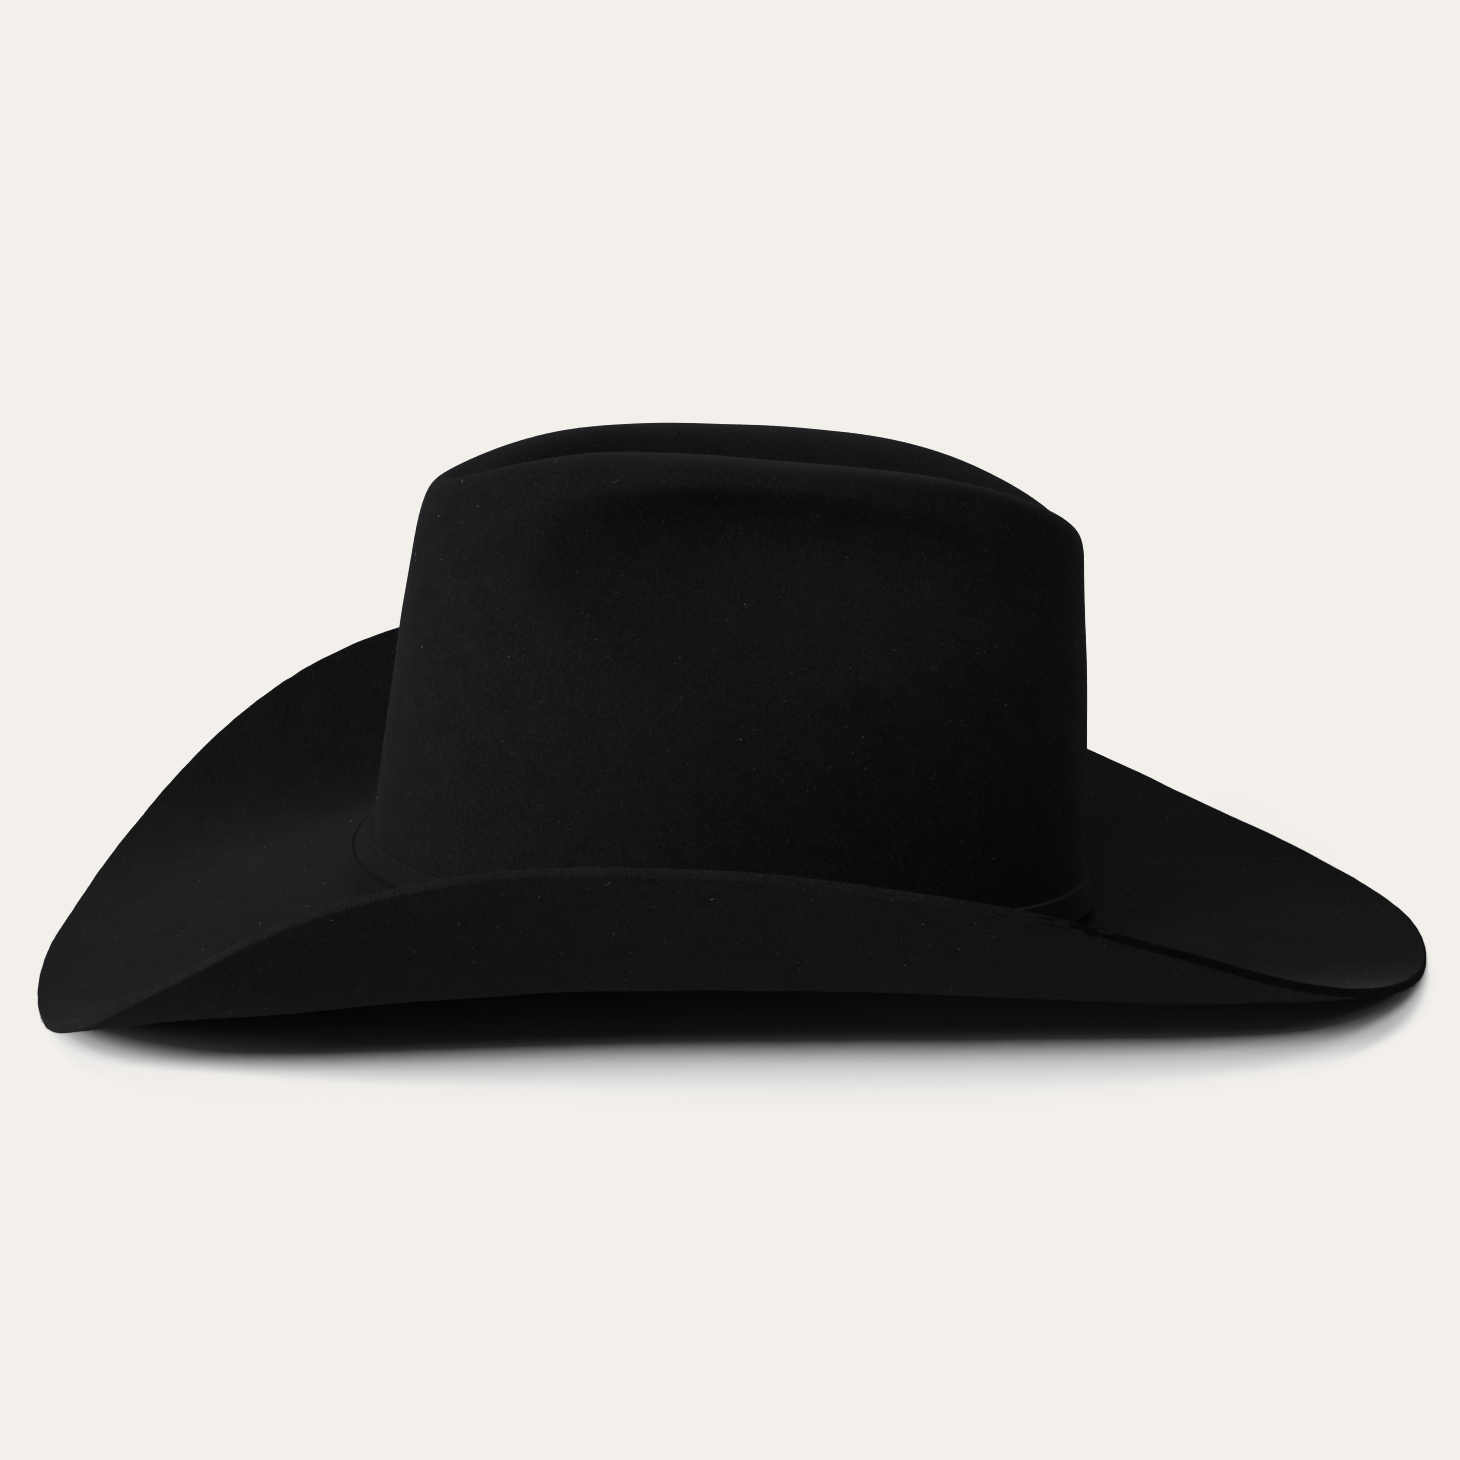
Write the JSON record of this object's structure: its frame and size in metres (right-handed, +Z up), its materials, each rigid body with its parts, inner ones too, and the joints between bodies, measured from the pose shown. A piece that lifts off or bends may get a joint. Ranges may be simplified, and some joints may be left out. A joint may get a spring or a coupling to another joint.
{
  "type": "cowboy hat",
  "caption": "Western felt hat with a creased, pinched crown and a brim rolled up at the sides, a self-felt band, a leather sweatband and a satin lining; worn on the head.",
  "frame": {"origin": "on the ground under the middle of the hat's bounding box", "axes": "+Z up from the ground, the front of the hat faces -Y, the wearer's left is +X"},
  "size_m": [0.3358, 0.4072, 0.1509],
  "materials": {
    "felt": "black fur felt with a short nap",
    "band_felt": "black felt strip with raw cut edges",
    "sweat_leather": "dark brown roan leather",
    "tape": "woven cotton tape",
    "reed": "plain plastic cord",
    "ribbon": "ribbed ribbon",
    "satin": "charcoal satin"
  },
  "bodies": {
    "hat": {"felt_body": "felt", "sweatband": "sweat_leather", "sweatband_seam_tab": "sweat_leather", "sweatband_tape": "tape", "sweatband_reed": "reed", "sweatband_bow": "ribbon", "sweatband_bow_knot": "ribbon", "lining_side": "satin", "lining_tip": "satin", "lining_piping": "satin"},
    "hat_band": {"hat_band": "band_felt", "hat_band_keeper": "band_felt"}
  },
  "joints": [
    {"name": "hat_band_lift", "type": "slide", "parent": "hat", "child": "hat_band", "axis": [0, 0.0802, 0.9968], "range_m": [0, 0.15]}
  ]
}
